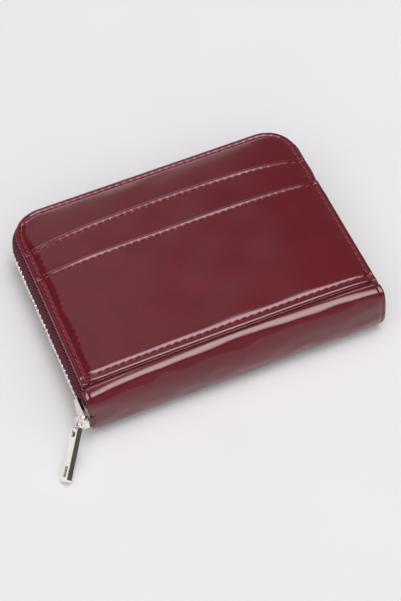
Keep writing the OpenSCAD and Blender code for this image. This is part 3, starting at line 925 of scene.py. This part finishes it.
class Shader(Nodes):
    """A material with a Principled shader and the patterns that feed it."""

    def __init__(self, name, **sockets):
        self.material = bpy.data.materials.new(name)
        self.material.use_nodes = True
        super().__init__(self.material.node_tree)
        self.bsdf = self.tree.nodes["Principled BSDF"]
        for key, value in sockets.items():
            self.bsdf.inputs[key.replace("_", " ")].default_value = value
        self.spot = self.mapped(self.new("TexCoord").outputs["Object"], (1 / MM,) * 3)

    def mapped(self, source, scale=(1, 1, 1), turn=(0, 0, 0)):
        node = self.new("Mapping")
        node.inputs["Scale"].default_value = scale
        node.inputs["Rotation"].default_value = turn
        self.link(source, node.inputs["Vector"])
        return node.outputs[0]

    def noise(self, size, detail=3, rough=0.5, stretch=(1, 1, 1)):
        """Noise whose features are about size millimetres."""
        node = self.new("TexNoise")
        node.inputs["Scale"].default_value = 1 / size
        node.inputs["Detail"].default_value = detail
        node.inputs["Roughness"].default_value = rough
        self.link(self.mapped(self.spot, stretch), node.inputs["Vector"])
        return node.outputs[0]

    def cells(self, size):
        """Distance to the nearest of scattered points about size millimetres apart."""
        node = self.new("TexVoronoi")
        node.inputs["Scale"].default_value = 1 / size
        self.link(self.spot, node.inputs["Vector"])
        return node.outputs["Distance"]

    def wave(self, size, turn=(0, 0, 0)):
        """Bands of one period of size millimetres across the turned X axis."""
        node = self.new("TexWave")
        node.bands_direction = "X"
        node.inputs["Scale"].default_value = 0.314 / size
        self.link(self.mapped(self.spot, turn=turn), node.inputs["Vector"])
        return node.outputs["Fac"]

    def blend(self, share, a, b):
        """Mixes two colours."""
        node = self.new("Mix")
        node.data_type = "RGBA"
        share_in, a_in, b_in = (node.inputs[k] for k in (0, 6, 7))
        self.link(share, share_in)
        for value, socket in ((a, a_in), (b, b_in)):
            self.link(value if isinstance(value, bpy.types.NodeSocket) else (*value, 1), socket)
        return node.outputs[2]

    def bump(self, height, depth_mm, under=None):
        node = self.new("Bump")
        node.inputs["Strength"].default_value = 1.0
        node.inputs["Distance"].default_value = depth_mm * MM
        self.link(height, node.inputs["Height"])
        if under is not None:
            self.link(under, node.inputs["Normal"])
        return node.outputs[0]

    def set(self, **values):
        for key, value in values.items():
            self.link(value, self.bsdf.inputs[key.replace("_", " ")])
        return self.material


def patent_leather():
    m = Shader("patent_leather", Roughness=0.34, Coat_Weight=1.0, Coat_Roughness=0.075, Coat_IOR=1.47,
               Specular_IOR_Level=0.08)
    cloud = m.span(m.noise(14, 4, 0.6), 0, 1, 0.3, 0.7)
    tone = m.blend(cloud, (0.096, 0.0044, 0.0090), (0.115, 0.0065, 0.0122))
    fleck = m.span(m.noise(0.35, 2), 0, 0.3, 0.52, 0.7)
    colour = m.blend(fleck, tone, (0.138, 0.0105, 0.017))
    grain = m.bump(m.noise(0.5, 3), 0.012)
    orange_peel = m.bump(m.noise(2.6, 2), 0.006)
    return m.set(Base_Color=colour, Normal=grain, Coat_Normal=orange_peel,
                 Roughness=m.span(m.noise(6, 3), 0.28, 0.42))


def inner_leather():
    m = Shader("inner_leather", Coat_Weight=0.15, Coat_Roughness=0.25)
    colour = m.blend(m.noise(9, 5, 0.65), (0.060, 0.006, 0.011), (0.100, 0.012, 0.018))
    pebble = m.span(m.cells(0.75), 0, 1, 0.0, 0.7)
    normal = m.bump(pebble, 0.05, under=m.bump(m.noise(0.3, 2), 0.01))
    return m.set(Base_Color=colour, Normal=normal, Roughness=m.span(m.noise(3, 3), 0.42, 0.6))


def woven_lining():
    m = Shader("woven_lining", Sheen_Weight=0.3, Sheen_Roughness=0.4)
    warp, weft = m.wave(0.5), m.wave(0.5, turn=(0, 0, math.pi / 2))
    weave = m.math("MULTIPLY", warp, weft)
    colour = m.blend(weave, (0.040, 0.004, 0.010), (0.110, 0.014, 0.026))
    return m.set(Base_Color=colour, Normal=m.bump(weave, 0.04), Roughness=m.span(m.noise(5), 0.55, 0.72))


def twill_tape():
    m = Shader("twill_tape", Sheen_Weight=0.02, Sheen_Roughness=0.5, Specular_IOR_Level=0.12)
    slope_a = m.wave(1.05, turn=(0.5, 0.7, 0.9))
    slope_b = m.wave(1.05, turn=(-0.5, 0.7, -0.9))
    side = m.span(m.wave(5.2, turn=(0, math.pi / 2, 0)), 0, 1, 0.48, 0.52)
    ribs = m.math("ADD", m.math("MULTIPLY", slope_a, side),
                  m.math("MULTIPLY", slope_b, m.math("SUBTRACT", 1.0, side)))
    fray = m.noise(0.25, 2)
    colour = m.blend(m.math("MULTIPLY", ribs, m.span(fray, 0.6, 1.2)), (0.012, 0.002, 0.005),
                     (0.215, 0.036, 0.064))
    return m.set(Base_Color=colour, Normal=m.bump(ribs, 0.12, under=m.bump(fray, 0.03)),
                 Roughness=m.span(fray, 0.75, 0.95))


def pale_gold(name, low, high, scratch):
    """Polished metal with a roughness from low to high and fine scratches along Z."""
    m = Shader(name, Metallic=1.0)
    cloud = m.span(m.noise(2.2, 4, 0.6), 0, 1, 0.35, 0.65)
    tint = m.blend(cloud, (0.89, 0.85, 0.77), (0.97, 0.94, 0.87))
    worn = m.noise(0.5, 3, 0.6, stretch=(1, 1, 0.12))
    return m.set(Base_Color=tint, Roughness=m.span(worn, low, high, 0.3, 0.7),
                 Normal=m.bump(worn, scratch))


def waxed_thread():
    m = Shader("waxed_thread", Sheen_Weight=0.2, Sheen_Roughness=0.3)
    ply = m.wave(0.42, turn=(0.4, 0.3, 0.8))
    colour = m.blend(ply, (0.15, 0.006, 0.014), (0.36, 0.022, 0.040))
    return m.set(Base_Color=colour, Normal=m.bump(ply, 0.06), Roughness=m.span(m.noise(0.6), 0.38, 0.55))


def fibre_board():
    m = Shader("fibre_board")
    fibre = m.noise(0.8, 5, 0.7, stretch=(1, 0.3, 1))
    colour = m.blend(fibre, (0.22, 0.15, 0.09), (0.42, 0.32, 0.21))
    return m.set(Base_Color=colour, Roughness=m.span(fibre, 0.7, 0.9), Normal=m.bump(fibre, 0.05))


def floor_paper():
    m = Shader("floor_paper", Roughness=0.62, Specular_IOR_Level=0.3)
    colour = m.blend(m.noise(60, 4), (0.735, 0.73, 0.745), (0.78, 0.775, 0.79))
    return m.set(Base_Color=colour, Normal=m.bump(m.noise(1.2, 3), 0.02))


# ---- setting ----

def make_floor(material):
    built = Mesh()
    reach = 1600
    x, y = np.meshgrid(*[np.linspace(-reach, reach, 9)] * 2)
    built.grid(points(x, y, 0))
    floor = add_mesh("floor", built, material)


class Room(Nodes):
    """The studio round the object: how bright it is in each direction."""

    def __init__(self):
        world = bpy.data.worlds.new("studio")
        bpy.context.scene.world = world
        world.use_nodes = True
        super().__init__(world.node_tree)
        self.aim = self.new("TexCoord").outputs["Generated"]
        split = self.new("SeparateXYZ")
        self.link(self.aim, split.inputs[0])
        self.axes = split.outputs

    def ramp(self, value, start, end, low=0.0, high=1.0):
        return self.span(value, low, high, start, end, "SMOOTHSTEP")

    def lobe(self, aim, inner, outer, power):
        """A soft patch of light round one direction, full inside inner degrees, gone at outer."""
        node = self.new("VectorMath")
        node.operation = "DOT_PRODUCT"
        self.link(self.aim, node.inputs[0])
        node.inputs[1].default_value = Vector(aim).normalized()
        edge, full = (math.cos(math.radians(angle)) for angle in (outer, inner))
        return self.ramp(node.outputs["Value"], edge, full, 0.0, power)

    def shine(self, strength, colour):
        node = self.new("Background")
        node.inputs[0].default_value = (*colour, 1)
        self.link(strength, node.inputs[1])
        return node.outputs[0]

    def mix(self, share, a, b):
        node = self.new("MixShader")
        for value, socket in zip((share, a, b), node.inputs):
            self.link(value, socket)
        return node.outputs[0]


# Patches seen in reflections: direction, full inside and gone at so many degrees, brightness
GLOSS_PATCHES = [((-0.85, 0.35, 0.12), 16, 48, 1.2), ((0.1, 0.95, 0.22), 6, 22, 1.0),
                 ((0.3, -0.9, 0.15), 8, 30, 0.30), ((0.18, -0.15, 0.97), 3, 34, 8.5)]


def make_room():
    """Separate brightness for reflections, for soft light and for what the camera sees behind."""
    room = Room()
    x, y = room.axes[0], room.axes[1]
    across = room.math("MULTIPLY", room.ramp(x, -0.22, -0.10), room.ramp(x, 0.06, 0.34, 1.0, 0.22))
    wall = room.math("MULTIPLY", across, room.ramp(y, 0.30, 0.52, 0.0, 0.70))
    gloss = room.math("ADD", wall, 0.07)
    for patch in GLOSS_PATCHES:
        gloss = room.math("ADD", gloss, room.lobe(*patch))
    soft = room.math("ADD", room.lobe((-0.1, -0.5, 0.86), 15, 72, 1.41), 0.16)
    path = room.new("LightPath")
    lit = room.mix(path.outputs["Is Glossy Ray"], room.shine(soft, (1.0, 0.985, 0.99)),
                   room.shine(gloss, (1.0, 0.96, 0.99)))
    seen = room.mix(path.outputs["Is Camera Ray"], lit, room.shine(1.0, (0.82, 0.815, 0.83)))
    room.link(seen, room.tree.nodes["World Output"].inputs[0])


def make_key_light():
    """Large soft lamp above the object, kept out of the reflections."""
    place = Vector((0.17, -0.13, 1.30))
    data = bpy.data.lights.new("key", "AREA")
    data.shape, data.size, data.size_y = "RECTANGLE", 0.60, 0.40
    data.energy, data.color = 4.7, (1.0, 0.975, 1.0)
    lamp = bpy.data.objects.new("key", data)
    lamp.location = place
    lamp.rotation_euler = (-place).to_track_quat("-Z", "Y").to_euler()
    lamp.visible_glossy = False
    bpy.context.scene.collection.objects.link(lamp)


def make_camera():
    """Camera at the photo's angle: turned, raised and rolled by so many degrees."""
    turn, rise, roll = (math.radians(a) for a in (-17.32, 52.86, -5.84))
    target, distance = Vector((0.00028, -0.0045, 0)), 0.74295
    back = Vector((math.sin(turn) * math.cos(rise), -math.cos(turn) * math.cos(rise), math.sin(rise)))
    right = (-back).cross(Vector((0, 0, 1))).normalized()
    up = right.cross(-back)
    level_right = right * math.cos(roll) + up * math.sin(roll)
    level_up = up * math.cos(roll) - right * math.sin(roll)
    data = bpy.data.cameras.new("camera")
    data.sensor_width, data.lens = 36, 107.5
    data.clip_start, data.clip_end = 0.02, 20
    camera = bpy.data.objects.new("camera", data)
    place = target + back * distance
    axes = Matrix((level_right, level_up, back)).transposed().to_4x4()
    camera.matrix_world = Matrix.Translation(place) @ axes
    bpy.context.scene.collection.objects.link(camera)
    bpy.context.scene.camera = camera
    bpy.context.scene.view_settings.view_transform = "Standard"


# ---- CAD nodes that stay ----

def keep_nodes(names, material, bevel=0.0):
    """Gives CAD nodes a material, and rounds their sharp edges by bevel millimetres."""
    for name in names:
        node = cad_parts[name]
        node.data.materials.clear()
        node.data.materials.append(material)
        if bevel:
            soft = node.modifiers.new("rounded", "BEVEL")
            soft.width, soft.segments = bevel * MM, 2
            soft.limit_method, soft.angle_limit = "ANGLE", 0.5


def main():
    leather, soft_leather, lining = patent_leather(), inner_leather(), woven_lining()
    twill, thread, board = twill_tape(), waxed_thread(), fibre_board()
    metal = pale_gold("zip_gold", 0.16, 0.32, 0.02)
    bright = pale_gold("puller_gold", 0.08, 0.20, 0.01)
    make_camera()
    make_room()
    make_key_light()
    make_floor(floor_paper())
    make_front(leather)
    make_front_stitches(thread)
    make_back(leather, thread)
    make_spine(leather)
    make_creases(leather)
    make_tapes(twill)
    make_tails(twill)
    make_teeth(metal)
    keep_nodes(["front_cover_board", "back_cover_board", "spine_board"], board)
    make_linings(lining)
    make_spine_lining(lining)
    make_card_slots(soft_leather, thread)
    make_coin_pocket(soft_leather, thread)
    make_coin_walls(soft_leather)
    make_coin_tapes(twill)
    make_gussets(soft_leather)
    keep_nodes(["zip_end_tab_left", "zip_end_tab_right"], soft_leather, 0.2)
    keep_nodes(["coin_zip_teeth", "coin_zip_stops", "zip_end_clip_left", "zip_end_clip_right",
                "slider_body", "slider_pin", "coin_slider_body", "coin_slider_pin"], metal, 0.15)
    keep_nodes(["pull_link", "pull_bar", "coin_pull"], bright, 0.2)


main()
